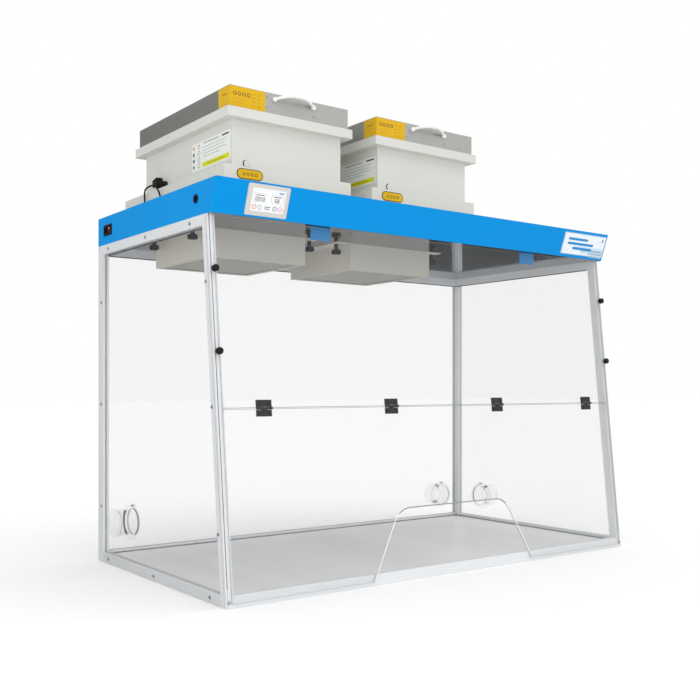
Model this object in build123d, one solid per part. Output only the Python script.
from build123d import *
import os
from math import atan2, cos, radians, sin, tan

# Ductless filtering enclosure: a clear-walled chamber under a blue header,
# with two fan-and-filter columns on the header. Millimetres, +Z up, +X right
# along the front, +Y towards the back. The origin is the centre of the base.

# ---- driving dimensions -------------------------------------------------
WIDTH = 1500.0
DEPTH = 802.0
CEILING_Z = 964.0
HEADER_HEIGHT = 84.6
FRONT_SETBACK = 99.0          # how far the front leans back up to the ceiling
HEADER_OVERHANG_LOW = 18.4    # header lip in front of the posts, at its underside
HEADER_OVERHANG_HIGH = 57.0   # the same, at its top edge

BAR_WIDTH = 20.0              # frame bars across the object
FRONT_POST_DEPTH = 28.0       # posts, front to back
REAR_POST_DEPTH = 35.0
SIDE_RAIL_HEIGHT = 30.0
TOP_RAIL_HEIGHT = 27.0
GROOVE_WIDTH = 3.0
GROOVE_DEPTH = 2.5
SIDE_GROOVE_IN = 9.0          # groove centre lines, from the post's outer corner
FRONT_GROOVE_IN = 5.0
REAR_GROOVE_IN = 12.0
REAR_SCREW_Z = (170, 481, 791)
FRONT_SCREW_Z = (175, 484, 795)
LOW_SCREW_Y = (-319, 4, 321)
HIGH_SCREW_Y = (-210, 59, 323)
PANEL_THICKNESS = 5.0
SHEET = 1.5                   # folded sheet metal
EDGE_RADIUS = 2.0             # upright corners of the sheet-metal housings
STUD = 3.0                    # radius of the knobs' studs
GAP = 0.3                     # air between pieces that move past each other
FIT = 0.05                    # radial clearance of a running fit

WORKTOP_TOP = 20.0
SEAM_Z = 479.0                # hinge line between the two front panels
PANEL_HALF_WIDTH = 736.0
ARM_OPENING = {"centre": 6.0, "bottom": 612.0, "top": 412.0, "height": 187.0, "radius": 65.0}

COLUMN_X = (-481.0, -3.4)
COLUMN_Y = 3.0
PLINTH = (403.0, 624.0, 55.4)
PLINTH_Y = 43.0
BODY = (346.0, 523.0, 121.0)
RIM = (395.0, 570.0, 25.0)
CASSETTE = (375.0, 550.0, 76.7)
CASSETTE_LIFT_IN_RIM = 20.0

BOX_X = (-493.0, -15.4)
BOX_Y = 41.0
BOX = (314.0, 330.0, 79.0)
BOX_FLANGE_WIDTH = 410.0
KNOB_OFFSET_X = 190.0
KNOB_Y = (-95.0, 145.0)

PORT_BORE = 34.0
PORT_SPIGOT = 38.0
PORT_FLANGE = 52.0
PORT_LENGTH = 50.0
LEFT_PORT = (166.0, 145.0)    # y, z
RIGHT_PORT = (254.0, 110.0)   # y, z
REAR_PORT = (662.0, 107.0)    # x, z
SHUTTER_PIVOT = 46.0          # above the port's axis

HINGE_X = (-620.0, -207.0, 207.0, 620.0)
HINGE_WIDTH = 45.0
LEAF_HEIGHT = 21.0
LEAF_THICKNESS = 3.0
KNUCKLE = 4.0
PIN = 1.5
PANEL_KNOB_Z = (620.0, 825.0)
PANEL_KNOB_X = 740.0
PANEL_KNOB_RADIUS = 8.3
PANEL_KNOB_HEAD = 12.0
PANEL_KNOB_STUD = 14.0

# On the header's slanted face: centre along and up it, then width, height, thickness.
BEZEL = ((-595, 45), (124, 80, 4))
SCREEN = ((-595, 46), (98, 58, 1))
NAME_PLATE = ((639.5, 45), (209, 73, 1.5))
COLUMN_OPENING = (300, 480, 20)
DUCT_OPENING = (290, 306, 20)
INLET_Y = (297.5, 353.5)
INLET_Z = (992.0, 1020.0)
SWITCH_Y = (303.0, 319.0)
SWITCH_Z = (995.0, 1017.0)
SWITCH_TILT = 7.0
GROMMET = (-244.0, 1008.0)    # y, z
TAB_X = (-404, 404)
TAB_SIZE = (65, 2, 36)
TAB_Y = -297.0
BOARD_AT = (-670.0, -200.0)
BOARD = (110, 160, 1.6)
BOARD_LIFT = 8.0              # stand-offs under the board

STAR_HEAD = 14.0              # star knob: height of the head
STAR_DROP = 33.0              # and how far it hangs below the ceiling
STAR_CORE = 9.0
STAR_LOBE = 5.0
STAR_LOBE_OUT = 9.5
STAR_NECK = 6.0

FAN_INLET = 80.0              # radii
IMPELLER = 118.0
SHAFT = 6.0
LOCK_X = -132.0               # cam lock, from the column's centre
LOCK_Z = 10.0                 # above the column body's lower edge
HANDLE_X = 8.0                # handle centre, from the column's centre
HANDLE_HALF = 61.5            # half the distance between its feet
HANDLE_BOW = 27.0
LEAD = 5.0                    # cord diameter
GLAND = 3.0                   # height of the glands on the header
SENSOR_PLUG_Y = 125.0
PLUG_Z = 1121.0
FAN_PLUG_Z = 1128.0
FAN_PLUG_Y = (150.0, 178.0)

# ---- worked out from them ----------------------------------------------
HALF_W = WIDTH / 2
HALF_D = DEPTH / 2
HEADER_TOP = CEILING_Z + HEADER_HEIGHT
LEAN = atan2(FRONT_SETBACK, CEILING_Z)
INNER_X = HALF_W - BAR_WIDTH
PANEL_FRONT = GAP + PANEL_THICKNESS
HINGE_AXIS_OUT = PANEL_FRONT + KNUCKLE + 0.5
BODY_BOTTOM = HEADER_TOP + PLINTH[2]
RIM_BOTTOM = BODY_BOTTOM + BODY[2]
RIM_TOP = RIM_BOTTOM + RIM[2]
CASSETTE_BOTTOM = RIM_TOP - CASSETTE_LIFT_IN_RIM + GAP
CASSETTE_TOP = CASSETTE_BOTTOM + CASSETTE[2]
SWITCH_PIVOT_X = -HALF_W + 5
GLAND_TOP = HEADER_TOP + GLAND
BODY_LEFT = COLUMN_X[0] - BODY[0] / 2
PLUG_X = BODY_LEFT - 20       # outer ends of the two connectors


def front_y(z):
    """The plane of the posts' front faces, at height z."""
    return -HALF_D + z * tan(LEAN)


# Local frame of the leaning front: x across, y up the slope, z outwards.
FRONT = Plane(origin=(0, -HALF_D, 0), x_dir=(1, 0, 0), z_dir=(0, -cos(LEAN), sin(LEAN))).location
LIP_LOW_Y = front_y(CEILING_Z) - HEADER_OVERHANG_LOW
LIP_HIGH_Y = front_y(HEADER_TOP) - HEADER_OVERHANG_HIGH
HEADER_SLOPE = atan2(LIP_LOW_Y - LIP_HIGH_Y, HEADER_HEIGHT)
# Local frame of the header's slanted face, from its lower edge.
FACE = Plane(
    origin=(0, LIP_LOW_Y, CEILING_Z), x_dir=(1, 0, 0), z_dir=(0, -cos(HEADER_SLOPE), -sin(HEADER_SLOPE))
).location


# ---- helpers ------------------------------------------------------------
def save(name, shape):
    export_step(shape, f"parts/{name}.step")


ON_BASE = (Align.CENTER, Align.CENTER, Align.MIN)


def block(x, y, z):
    """A box from its (low, high) pairs."""
    low = (x[0], y[0], z[0])
    size = (x[1] - x[0], y[1] - y[0], z[1] - z[0])
    return Pos(*low) * Box(*size, align=(Align.MIN, Align.MIN, Align.MIN))


def centred_block(cx, cy, low_z, size):
    return Pos(cx, cy, low_z) * Box(*size, align=ON_BASE)


def rounded_block(cx, cy, low_z, size, radius=EDGE_RADIUS):
    """A block like centred_block's, with its upright edges rounded."""
    return Pos(cx, cy, low_z) * extrude(RectangleRounded(size[0], size[1], radius), amount=size[2])


def rod(radius, low, high):
    """A cylinder along Z from height low to height high."""
    return Pos(0, 0, low) * Cylinder(radius, high - low, align=ON_BASE)


def profile_yz(points, x_low, x_high):
    """A solid with the given (y, z) outline, between two x values."""
    face = make_face(Polyline(*[(x_low, y, z) for y, z in points], close=True))
    return extrude(face, amount=x_high - x_low, dir=(1, 0, 0))


def along_x(radius, low, high, y, z):
    return Pos(low, y, z) * Rot(0, 90, 0) * Cylinder(radius, high - low, align=ON_BASE)


def along_y(radius, low, high, x, z):
    return Pos(x, low, z) * Rot(-90, 0, 0) * Cylinder(radius, high - low, align=ON_BASE)


def both_sides(left):
    return Compound(children=[left, mirror(left, about=Plane.YZ)])


def cord(points, diameter, name):
    """A round cord: straight runs joined by arcs as large as the runs allow."""
    spots = [Vector(*p) for p in points]
    radii = []
    for a, b, c in zip(spots, spots[1:], spots[2:]):
        turn = radians((b - a).get_angle(c - b))
        radii.append(0.45 * min((b - a).length, (c - b).length) / tan(turn / 2))
    path = FilletPolyline(*spots, radius=radii)
    section = Plane(origin=spots[0], z_dir=spots[1] - spots[0]) * Circle(diameter / 2)
    print(name, "radii", [round(r, 1) for r in radii], "length", round(path.length, 1))
    return sweep(section, path=path)


# ---- frame --------------------------------------------------------------
def front_post():
    outline = [
        (front_y(0), 0),
        (front_y(0) + FRONT_POST_DEPTH, 0),
        (front_y(CEILING_Z) + FRONT_POST_DEPTH, CEILING_Z),
        (front_y(CEILING_Z), CEILING_Z),
    ]
    post = profile_yz(outline, -HALF_W, -INNER_X)
    length = CEILING_Z / cos(LEAN)
    side_groove = Box(2 * GROOVE_DEPTH, length * 1.2, GROOVE_WIDTH)
    front_groove = Box(GROOVE_WIDTH, length * 1.2, 2 * GROOVE_DEPTH)
    post -= FRONT * Pos(-HALF_W, length / 2, -SIDE_GROOVE_IN) * side_groove
    post -= FRONT * Pos(-HALF_W + FRONT_GROOVE_IN, length / 2, 0) * front_groove
    for z in PANEL_KNOB_Z:
        post -= FRONT * Pos(-PANEL_KNOB_X, z / cos(LEAN), 0) * rod(STUD + FIT, -PANEL_KNOB_STUD - 2, 1)
    return post


def rear_post():
    post = block((-HALF_W, -INNER_X), (HALF_D - REAR_POST_DEPTH, HALF_D), (0, CEILING_Z))
    low = HALF_D - REAR_GROOVE_IN
    groove = block((-HALF_W - 1, -HALF_W + GROOVE_DEPTH), (low, low + GROOVE_WIDTH), (-1, CEILING_Z + 1))
    return post - groove


def side_rail(low, high):
    outline = [
        (front_y(low) + FRONT_POST_DEPTH, low),
        (HALF_D - REAR_POST_DEPTH, low),
        (HALF_D - REAR_POST_DEPTH, high),
        (front_y(high) + FRONT_POST_DEPTH, high),
    ]
    return profile_yz(outline, -HALF_W, -INNER_X)


def front_rail():
    outline = [
        (front_y(0), 0),
        (-HALF_D + BAR_WIDTH, 0),
        (-HALF_D + BAR_WIDTH, SIDE_RAIL_HEIGHT),
        (front_y(SIDE_RAIL_HEIGHT), SIDE_RAIL_HEIGHT),
    ]
    return profile_yz(outline, -INNER_X, INNER_X)


def rear_rail(low, high):
    return block((-INNER_X, INNER_X), (HALF_D - BAR_WIDTH, HALF_D), (low, high))


def screw_head():
    """A button head on the XY plane with a round drive recess."""
    head = fillet(rod(4.5, 0, 2).edges().group_by(Axis.Z)[-1], 1.2)
    return head - rod(1.6, 1, 3)


def frame_screws():
    head = screw_head()
    left = []
    spots = [(HALF_D - 26, z) for z in REAR_SCREW_Z]
    spots += [(front_y(z) + 22, z) for z in FRONT_SCREW_Z]
    spots += [(y, SIDE_RAIL_HEIGHT / 2) for y in LOW_SCREW_Y]
    spots += [(y, CEILING_Z - TOP_RAIL_HEIGHT / 2) for y in HIGH_SCREW_Y]
    for y, z in spots:
        left.append(Pos(-HALF_W, y, z) * Rot(0, -90, 0) * head)
    right = [mirror(s, about=Plane.YZ) for s in left]
    front = [FRONT * Pos(x, SIDE_RAIL_HEIGHT / 2, 0) * head for x in (-HALF_W + 7, HALF_W - 7)]
    return Compound(children=left + right + front)


def build_frame():
    save("posts_front", both_sides(front_post()))
    save("posts_rear", both_sides(rear_post()))
    save("rails_bottom_long", Compound(children=[front_rail(), rear_rail(0, SIDE_RAIL_HEIGHT)]))
    save("rails_bottom_side", both_sides(side_rail(0, SIDE_RAIL_HEIGHT)))
    top = side_rail(CEILING_Z - TOP_RAIL_HEIGHT, CEILING_Z)
    rear = rear_rail(CEILING_Z - TOP_RAIL_HEIGHT, CEILING_Z)
    save("rails_top", Compound(children=[top, mirror(top, about=Plane.YZ), rear]))
    save("frame_screws", frame_screws())


def worktop():
    """A folded steel tray on three channels; the middle one meets the bench at the origin."""
    x = (-INNER_X, INNER_X)
    y = (-HALF_D + BAR_WIDTH, HALF_D - BAR_WIDTH)
    tray = block(x, y, (0, WORKTOP_TOP))
    tray -= block((x[0] + SHEET, x[1] - SHEET), (y[0] + SHEET, y[1] - SHEET), (-1, WORKTOP_TOP - SHEET))
    for cx in (-INNER_X / 2, 0, INNER_X / 2):
        tray += centred_block(cx, 0, 0, (40, y[1] - y[0] - SHEET, WORKTOP_TOP - SHEET))
    return tray


# ---- clear panels and ports ---------------------------------------------
def side_panel(port):
    low = SIDE_RAIL_HEIGHT
    high = CEILING_Z - TOP_RAIL_HEIGHT
    outline = [
        (front_y(low) + FRONT_POST_DEPTH, low),
        (HALF_D - REAR_POST_DEPTH, low),
        (HALF_D - REAR_POST_DEPTH, high),
        (front_y(high) + FRONT_POST_DEPTH, high),
    ]
    outer = HALF_W - BAR_WIDTH / 2 + PANEL_THICKNESS / 2
    panel = profile_yz(outline, -outer, -outer + PANEL_THICKNESS)
    panel -= along_x(PORT_SPIGOT, -outer - 1, -outer + PANEL_THICKNESS + 1, *port)
    panel -= along_x(3, -outer - 1, -outer + PANEL_THICKNESS + 1, port[0], port[1] + SHUTTER_PIVOT)
    return panel


def rear_panel():
    y = HALF_D - BAR_WIDTH / 2 - PANEL_THICKNESS / 2
    panel = block(
        (-INNER_X, INNER_X), (y, y + PANEL_THICKNESS), (SIDE_RAIL_HEIGHT, CEILING_Z - TOP_RAIL_HEIGHT)
    )
    panel -= along_y(PORT_SPIGOT, y - 1, y + PANEL_THICKNESS + 1, *REAR_PORT)
    panel -= along_y(3, y - 1, y + PANEL_THICKNESS + 1, REAR_PORT[0], REAR_PORT[1] + SHUTTER_PIVOT)
    return panel


def port_body():
    """Flange on the panel's outer face at z = 0, sleeve through the panel, spigot outwards."""
    body = rod(PORT_FLANGE, 0, 6) + rod(PORT_SPIGOT, -PANEL_THICKNESS, 6 + PORT_LENGTH)
    body += rod(PORT_SPIGOT + 2.5, 6 + PORT_LENGTH - 8, 6 + PORT_LENGTH)
    body -= rod(PORT_BORE, -PANEL_THICKNESS - 1, 7 + PORT_LENGTH)
    body -= Pos(0, SHUTTER_PIVOT, 0) * rod(2.5 + FIT, -1, 4)
    return body


def shutter():
    """A swing-aside disc behind the panel, with its pivot pin through to the flange."""
    z = -PANEL_THICKNESS - GAP
    disc = rod(41, z - 3, z) + Pos(0, SHUTTER_PIVOT, 0) * rod(8, z - 3, z)
    disc += Pos(0, SHUTTER_PIVOT, 0) * rod(2.5, z, 3)
    return disc + Pos(0, -24, 0) * rod(5, z - 6.5, z - 2)


def port_places():
    side = HALF_W - BAR_WIDTH / 2 + PANEL_THICKNESS / 2
    rear = HALF_D - BAR_WIDTH / 2 + PANEL_THICKNESS / 2
    return {
        "left": Plane(origin=(-side, *LEFT_PORT), x_dir=(0, -1, 0), z_dir=(-1, 0, 0)).location,
        "right": Plane(origin=(side, *RIGHT_PORT), x_dir=(0, 1, 0), z_dir=(1, 0, 0)).location,
        "rear": Plane(origin=(REAR_PORT[0], rear, REAR_PORT[1]), x_dir=(-1, 0, 0), z_dir=(0, 1, 0)).location,
    }


def build_panels():
    save("panel_left", side_panel(LEFT_PORT))
    save("panel_right", mirror(side_panel(RIGHT_PORT), about=Plane.YZ))
    save("panel_rear", rear_panel())
    places = port_places()
    save("port_bodies", Compound(children=[place * port_body() for place in places.values()]))
    for name, place in places.items():
        save(f"port_shutter_{name}", place * shutter())


# ---- front panels, hinges and their knobs -------------------------------
def upper_panel():
    low = SEAM_Z / cos(LEAN) + 1
    high = (CEILING_Z - 4) / cos(LEAN)
    size = (2 * PANEL_HALF_WIDTH, high - low, PANEL_THICKNESS)
    return FRONT * Pos(0, (low + high) / 2, GAP + PANEL_THICKNESS / 2) * Box(*size)


def arm_outline(low):
    """The rounded trapezoid of the arm opening, from the panel's lower edge."""
    half_low = ARM_OPENING["bottom"] / 2
    half_high = ARM_OPENING["top"] / 2
    high = low + ARM_OPENING["height"]
    corners = [(-half_low, low - 1), (half_low, low - 1), (half_high, high), (-half_high, high)]
    face = make_face(Polyline(*corners, close=True))
    return fillet(face.vertices().group_by(Axis.Y)[-1], ARM_OPENING["radius"])


def lower_panel():
    low = 10.0
    high = SEAM_Z / cos(LEAN) - 1
    size = (2 * PANEL_HALF_WIDTH, high - low, PANEL_THICKNESS)
    panel = Pos(0, (low + high) / 2, GAP + PANEL_THICKNESS / 2) * Box(*size)
    cut = extrude(arm_outline(low), amount=PANEL_THICKNESS + 2)
    panel -= Pos(ARM_OPENING["centre"], 0, -1) * cut
    return FRONT * panel


def knuckle_bands(sleeve):
    """Sleeve lengths along the hinge: the outer pair, or the middle one between them."""
    third = HINGE_WIDTH / 3
    if sleeve == "outer":
        return [(-HINGE_WIDTH / 2, -third / 2 - GAP / 2), (third / 2 + GAP / 2, HINGE_WIDTH / 2)]
    return [(-third / 2 + GAP / 2, third / 2 - GAP / 2)]


def hinge_leaf(direction, sleeve, bore):
    """One leaf about a hinge line on local X; direction is +1 up the slope or -1 down it."""
    base = PANEL_FRONT - HINGE_AXIS_OUT
    clear = KNUCKLE + 0.6
    edges = sorted((direction * clear, direction * LEAF_HEIGHT))
    leaf = block((-HINGE_WIDTH / 2, HINGE_WIDTH / 2), edges, (base, base + LEAF_THICKNESS))
    for low, high in knuckle_bands(sleeve):
        bridge = sorted((0, direction * (clear + 1)))
        leaf += block((low, high), bridge, (base + 0.5, base + LEAF_THICKNESS))
        leaf += along_x(KNUCKLE, low, high, 0, 0)
    return leaf - along_x(bore, -HINGE_WIDTH, HINGE_WIDTH, 0, 0)


def build_front():
    seam = [FRONT * Pos(x, SEAM_Z / cos(LEAN), HINGE_AXIS_OUT) for x in HINGE_X]
    upper_leaf = hinge_leaf(1, "outer", PIN)
    lower_leaf = hinge_leaf(-1, "middle", PIN + FIT)
    pin = along_x(PIN, -HINGE_WIDTH / 2, HINGE_WIDTH / 2, 0, 0)
    save("panel_front_upper", upper_panel())
    save("panel_front_lower", lower_panel())
    save("hinge_leaves_upper", Compound(children=[place * upper_leaf for place in seam]))
    save("hinge_leaves_lower", Compound(children=[place * lower_leaf for place in seam]))
    save("hinge_pins", Compound(children=[place * pin for place in seam]))


def thumb_knob():
    """A ribbed head outside the panel's edge, with its stud into the post."""
    low = PANEL_FRONT + GAP
    head = rod(PANEL_KNOB_RADIUS, low, low + PANEL_KNOB_HEAD)
    for i in range(16):
        head += Rot(0, 0, i * 22.5) * Pos(8, 0, 0) * rod(1.1, low + 1, low + PANEL_KNOB_HEAD - 1)
    return head + rod(STUD, -PANEL_KNOB_STUD, low)


def build_thumb_knobs():
    for side, x in (("left", -PANEL_KNOB_X), ("right", PANEL_KNOB_X)):
        for level, z in zip(("lower", "upper"), PANEL_KNOB_Z):
            save(f"panel_knob_{side}_{level}", FRONT * Pos(x, z / cos(LEAN), 0) * thumb_knob())


# ---- header --------------------------------------------------------------
def header_outline(inset):
    return [
        (LIP_LOW_Y + inset * 1.1, CEILING_Z),
        (LIP_HIGH_Y + inset * 1.1, HEADER_TOP - inset),
        (HALF_D - inset, HEADER_TOP - inset),
        (HALF_D - inset, CEILING_Z),
    ]


def on_front_corner(edge):
    """Whether an edge of the header is one of its two slanted front corners."""
    middle = edge.center()
    return abs(middle.X) > HALF_W - 1 and middle.Y < LIP_LOW_Y


def header_casing():
    casing = profile_yz(header_outline(0), -HALF_W, HALF_W)
    casing = fillet(casing.edges().filter_by(on_front_corner), EDGE_RADIUS)
    casing -= profile_yz(header_outline(SHEET), -HALF_W + SHEET, HALF_W - SHEET)
    for cx in COLUMN_X:
        casing -= centred_block(cx, PLINTH_Y, HEADER_TOP - 10, COLUMN_OPENING)
    casing -= block((-HALF_W - 1, -HALF_W + 5), INLET_Y, INLET_Z)
    casing -= along_x(9, -HALF_W - 1, -HALF_W + 5, *GROMMET)
    return casing


def ceiling_plate():
    plate = block(
        (-HALF_W + SHEET, HALF_W - SHEET),
        (LIP_LOW_Y + 3, HALF_D - SHEET),
        (CEILING_Z, CEILING_Z + SHEET),
    )
    for cx in BOX_X:
        plate -= centred_block(cx, BOX_Y, CEILING_Z - 5, DUCT_OPENING)
    for x, y in star_knob_places():
        plate -= Pos(x, y, 0) * rod(STUD + FIT, CEILING_Z - 5, CEILING_Z + 10)
    return plate


def power_inlet():
    """Switched appliance inlet: flange, moulded body, socket recess and switch well."""
    middle_y = sum(INLET_Y) / 2
    middle_z = sum(INLET_Z) / 2
    inlet = block((-HALF_W - 2, -HALF_W), (INLET_Y[0] - 2, INLET_Y[1] + 2), (INLET_Z[0] - 2, INLET_Z[1] + 2))
    inlet += block((-HALF_W, -HALF_W + 32), INLET_Y, INLET_Z)
    inlet -= block((-HALF_W - 3, -HALF_W + 16), (middle_y, middle_y + 24), (middle_z - 8, middle_z + 8))
    inlet -= block((-HALF_W - 3, -HALF_W + 12), SWITCH_Y, SWITCH_Z)
    pivot = (SWITCH_PIVOT_X, sum(SWITCH_Z) / 2)
    inlet -= along_y(1.5 + FIT, SWITCH_Y[0] - 3, SWITCH_Y[1] + 3, *pivot)
    return inlet


def rocker_switch():
    """A rocker on its cross pin, stored tipped to its on side."""
    middle_z = sum(SWITCH_Z) / 2
    y = (SWITCH_Y[0] + 0.5, SWITCH_Y[1] - 0.5)
    rocker = block((-7.5, 3), y, (-9.2, 9.2))
    rocker += along_y(1.5, SWITCH_Y[0] - 2.5, SWITCH_Y[1] + 2.5, 0, 0)
    return Pos(SWITCH_PIVOT_X, 0, middle_z) * Rot(0, -SWITCH_TILT, 0) * rocker


def grommet():
    y, z = GROMMET
    ring = along_x(11.5, -HALF_W - 2, -HALF_W, y, z) + along_x(9, -HALF_W, -HALF_W + SHEET, y, z)
    ring += along_x(11.5, -HALF_W + SHEET, -HALF_W + SHEET + 2, y, z)
    return ring - along_x(5, -HALF_W - 3, -HALF_W + 8, y, z)


def front_tabs():
    low = CEILING_Z - TAB_SIZE[2]
    return Compound(children=[centred_block(x, TAB_Y, low, TAB_SIZE) for x in TAB_X])


def control_board():
    """Circuit board on four stand-offs, with its transformer, capacitors and terminals."""
    cx, cy = BOARD_AT
    low = CEILING_Z + SHEET
    top = low + BOARD_LIFT + BOARD[2]
    board = centred_block(cx, cy, low + BOARD_LIFT, BOARD)
    for dx in (-48, 48):
        for dy in (-72, 72):
            board += Pos(cx + dx, cy + dy, 0) * rod(3, low, low + BOARD_LIFT)
    board += centred_block(cx - 20, cy - 40, top, (40, 48, 32))
    board += centred_block(cx + 30, cy + 50, top, (30, 60, 14))
    for dy in (-55, -35, -15):
        board += Pos(cx + 25, cy + dy, 0) * rod(8, top, top + 24)
    return board


def face_plate(fitting, radius, lift=0.0):
    """A flat fitting with rounded corners on the header's slanted face."""
    (x, y), (width, height, thick) = fitting
    return Pos(x, y, lift) * extrude(RectangleRounded(width, height, radius), amount=thick)


def display_bezel():
    bezel = face_plate(BEZEL, 4)
    return FACE * fillet(bezel.edges().group_by(Axis.Z)[-1], 1)


def build_header():
    save("header_casing", header_casing())
    save("ceiling_plate", ceiling_plate())
    save("front_tabs", front_tabs())
    save("display_bezel", display_bezel())
    save("display_screen", FACE * face_plate(SCREEN, 2, BEZEL[1][2]))
    save("name_plate", FACE * face_plate(NAME_PLATE, 5))
    save("power_inlet", power_inlet())
    save("rocker_switch", rocker_switch())
    save("grommet", grommet())
    save("control_board", control_board())


# ---- pre-filter boxes under the ceiling ----------------------------------
def star_knob_places():
    return [(cx + side * KNOB_OFFSET_X, y) for cx in BOX_X for side in (-1, 1) for y in KNOB_Y]


def prefilter_box(cx):
    bottom = CEILING_Z - BOX[2]
    box = rounded_block(cx, BOX_Y, bottom, BOX)
    box += centred_block(cx, BOX_Y, CEILING_Z - 2, (BOX_FLANGE_WIDTH, BOX[1], 2))
    box -= centred_block(cx, BOX_Y, bottom + 2, (BOX[0] - 2 * SHEET, BOX[1] - 2 * SHEET, BOX[2]))
    box -= centred_block(cx, BOX_Y, bottom - 1, (BOX[0] - 30, BOX[1] - 30, 10))
    for x, y in star_knob_places():
        box -= Pos(x, y, 0) * rod(STUD + FIT, CEILING_Z - 4, CEILING_Z + 1)
    return box


def star_knob():
    """Four-lobed hanging knob: head, neck and the stud through flange and ceiling."""
    low = CEILING_Z - STAR_DROP
    top = low + STAR_HEAD
    knob = rod(STAR_CORE, low, top)
    for i in range(4):
        knob += Rot(0, 0, 45 + 90 * i) * Pos(STAR_LOBE_OUT, 0, 0) * rod(STAR_LOBE, low, top)
    knob += rod(STAR_NECK, top, CEILING_Z - 2 - GAP)
    return knob + rod(STUD, top, CEILING_Z + 12)


def build_prefilters():
    pad = (BOX[0] - 2 * SHEET, BOX[1] - 2 * SHEET, 18)
    low = CEILING_Z - BOX[2] + 2
    save("prefilter_boxes", Compound(children=[prefilter_box(cx) for cx in BOX_X]))
    save("prefilter_pads", Compound(children=[centred_block(cx, BOX_Y, low, pad) for cx in BOX_X]))
    for number, (x, y) in enumerate(star_knob_places(), 1):
        save(f"star_knob_{number}", Pos(x, y, 0) * star_knob())


# ---- columns --------------------------------------------------------------
def plinth(cx):
    shell = rounded_block(cx, PLINTH_Y, HEADER_TOP, PLINTH)
    inner = (PLINTH[0] - 2 * SHEET, PLINTH[1] - 2 * SHEET, PLINTH[2])
    shell -= centred_block(cx, PLINTH_Y, HEADER_TOP - SHEET, inner)
    shell -= centred_block(cx, COLUMN_Y, HEADER_TOP, (300, 440, 80))
    return shell


def column_body(cx):
    shell = rounded_block(cx, COLUMN_Y, BODY_BOTTOM, BODY)
    inner = (BODY[0] - 2 * SHEET, BODY[1] - 2 * SHEET, BODY[2])
    shell -= centred_block(cx, COLUMN_Y, BODY_BOTTOM + SHEET, inner)
    shell -= Pos(cx, COLUMN_Y, 0) * rod(FAN_INLET, BODY_BOTTOM - 1, BODY_BOTTOM + 5)
    front = COLUMN_Y - BODY[1] / 2
    shell -= along_y(6 + FIT, front - 1, front + 5, cx + LOCK_X, BODY_BOTTOM + LOCK_Z)
    return shell


def column_rim(cx):
    rim = rounded_block(cx, COLUMN_Y, RIM_BOTTOM, RIM)
    seat = (CASSETTE[0] + 2, CASSETTE[1] + 2, RIM[2])
    rim -= centred_block(cx, COLUMN_Y, RIM_TOP - CASSETTE_LIFT_IN_RIM, seat)
    rim -= centred_block(cx, COLUMN_Y, RIM_BOTTOM - 1, (330, 505, 40))
    return rim


def cassette(cx):
    frame = centred_block(cx, COLUMN_Y, CASSETTE_BOTTOM, CASSETTE)
    wall = (CASSETTE[0] - 2 * SHEET, CASSETTE[1] - 2 * SHEET, CASSETTE[2] - 2 * SHEET)
    frame -= centred_block(cx, COLUMN_Y, CASSETTE_BOTTOM + SHEET, wall)
    window = (CASSETTE[0] - 40, CASSETTE[1] - 40, CASSETTE[2] + 10)
    frame -= centred_block(cx, COLUMN_Y, CASSETTE_BOTTOM - 5, window)
    return frame


def filter_bed(cx):
    size = (CASSETTE[0] - 2 * SHEET, CASSETTE[1] - 2 * SHEET, CASSETTE[2] - 2 * SHEET)
    return centred_block(cx, COLUMN_Y, CASSETTE_BOTTOM + SHEET, size)


def cassette_handle(cx):
    """A bowed grip between two feet on the cassette's front."""
    middle = cx + HANDLE_X
    left, right = middle - HANDLE_HALF, middle + HANDLE_HALF
    face_y = COLUMN_Y - CASSETTE[1] / 2
    z = CASSETTE_TOP - 16
    bow = ThreePointArc((left, face_y, z), (middle, face_y - HANDLE_BOW, z + 11), (right, face_y, z))
    start = Plane(origin=bow @ 0, z_dir=bow % 0)
    handle = sweep(start * Circle(4), path=bow)
    for x in (left, right):
        handle += along_y(6, face_y - 6, face_y, x, z)
    return handle - block((left - 20, right + 20), (face_y, face_y + 20), (z - 20, z + 20))


def fan_motor(cx):
    """Motor under a cross-bar, with its shaft down through the impeller."""
    bar_z = RIM_BOTTOM - 20
    bar = centred_block(cx, COLUMN_Y, bar_z, (BODY[0] - 2 * SHEET, 40, 5))
    motor = rod(45, bar_z - 38, bar_z) + rod(SHAFT, BODY_BOTTOM + 14, bar_z - 38)
    return bar + Pos(cx, COLUMN_Y, 0) * motor


def fan_impeller(cx):
    """Backward-curved wheel: hub and back plate above, inlet shroud below."""
    low = BODY_BOTTOM + 12
    high = RIM_BOTTOM - 62
    wheel = rod(IMPELLER, high - 2, high) + rod(18, low + 6, high)
    wheel += rod(IMPELLER, low, low + 2) - rod(FAN_INLET - 5, low - 1, low + 3)
    blade = Pos(88, 0, 0) * Rot(0, 0, 35) * centred_block(0, 0, low + 1, (70, 2.5, high - low - 2))
    for i in range(7):
        wheel += Rot(0, 0, i * 360 / 7) * blade
    wheel -= rod(SHAFT + FIT, low - 5, high + 5)
    return Pos(cx, COLUMN_Y, 0) * wheel


def cam_lock(cx):
    """Slotted quarter-turn lock: head outside, barrel through the wall, cam inside."""
    front = COLUMN_Y - BODY[1] / 2
    x = cx + LOCK_X
    z = BODY_BOTTOM + LOCK_Z
    lock = along_y(8, front - GAP - 3, front - GAP, x, z)
    lock += along_y(6, front - GAP, front + 8, x, z)
    lock += block((x - 5, x + 22), (front + 5, front + 7), (z - 5, z + 5))
    return lock - block((x - 6, x + 6), (front - GAP - 4, front - GAP - 1.5), (z - 0.8, z + 0.8))


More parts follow.
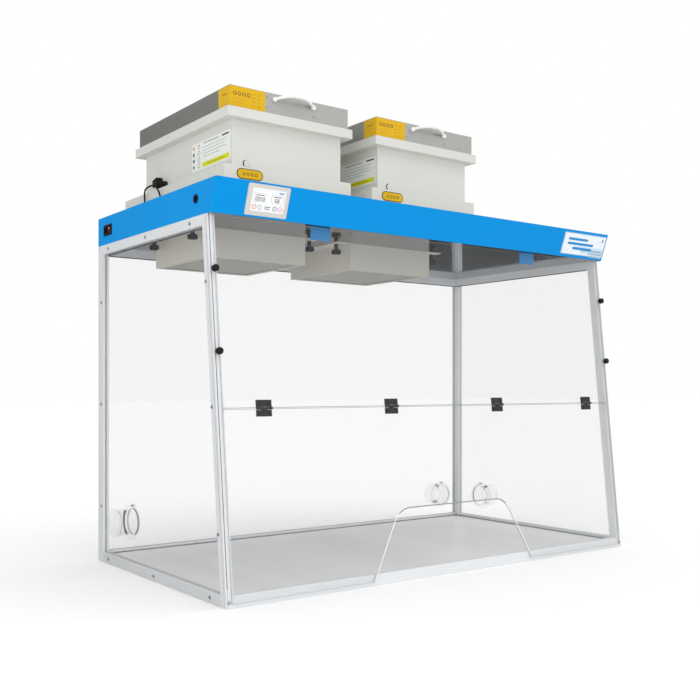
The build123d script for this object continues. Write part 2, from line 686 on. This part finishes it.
def build_columns():
    save("column_plinths", Compound(children=[plinth(cx) for cx in COLUMN_X]))
    save("column_bodies", Compound(children=[column_body(cx) for cx in COLUMN_X]))
    save("column_rims", Compound(children=[column_rim(cx) for cx in COLUMN_X]))
    save("fan_motors", Compound(children=[fan_motor(cx) for cx in COLUMN_X]))
    for number, cx in enumerate(COLUMN_X, 1):
        save(f"cassette_{number}", cassette(cx))
        save(f"filter_bed_{number}", filter_bed(cx))
        save(f"cassette_handle_{number}", cassette_handle(cx))
        save(f"fan_impeller_{number}", fan_impeller(cx))
        save(f"cam_lock_{number}", cam_lock(cx))


# ---- leads from the header to the column -----------------------------------
FAN_LEAD = [
    (-693, 188, GLAND_TOP),
    (-693, 188, 1070),
    (-692, 192, 1088),
    (-690, 197, 1103),
    (-685.3, 202.7, 1114.6),
    (-677.4, 204.9, 1122.9),
    (-668.2, 200.4, 1128.2),
    (-662, 190, 1130),
    (-662, FAN_PLUG_Y[1], 1130),
]
SENSOR_LEAD = [
    (-692, 84, GLAND_TOP),
    (-692, 84, 1070),
    (-694, 89, 1087),
    (-697, 98, 1101),
    (-699, 111, 1112.4),
    (-693.8, 120, 1118.4),
    (-684, SENSOR_PLUG_Y, PLUG_Z),
    (PLUG_X, SENSOR_PLUG_Y, PLUG_Z),
]


def lead_connectors():
    """Fan connector block and round sensor plug on the body, and a gland under each lead."""
    near, far = FAN_PLUG_Y
    wide, narrow = 15.5, 9.5
    outline = [
        (near, FAN_PLUG_Z - wide),
        (far, FAN_PLUG_Z - narrow),
        (far, FAN_PLUG_Z + narrow),
        (near, FAN_PLUG_Z + wide),
    ]
    pieces = [profile_yz(outline, PLUG_X, BODY_LEFT)]
    plug = along_x(9, PLUG_X + 6, BODY_LEFT, SENSOR_PLUG_Y, PLUG_Z)
    pieces.append(plug + along_x(5, PLUG_X, PLUG_X + 6, SENSOR_PLUG_Y, PLUG_Z))
    for x, y in (FAN_LEAD[0][:2], SENSOR_LEAD[0][:2]):
        pieces.append(Pos(x, y, 0) * rod(6.5, HEADER_TOP, GLAND_TOP))
    return pieces


def build_leads():
    step = COLUMN_X[1] - COLUMN_X[0]
    fan = cord(FAN_LEAD, LEAD, "fan lead")
    sensor = cord(SENSOR_LEAD, LEAD, "sensor lead")
    pieces = lead_connectors()
    save("fan_leads", Compound(children=[fan, Pos(step, 0, 0) * fan]))
    save("sensor_leads", Compound(children=[sensor, Pos(step, 0, 0) * sensor]))
    save("lead_connectors", Compound(children=pieces + [Pos(step, 0, 0) * p for p in pieces]))


os.makedirs("parts", exist_ok=True)
build_frame()
save("worktop", worktop())
build_panels()
build_front()
build_thumb_knobs()
build_header()
build_prefilters()
build_columns()
build_leads()
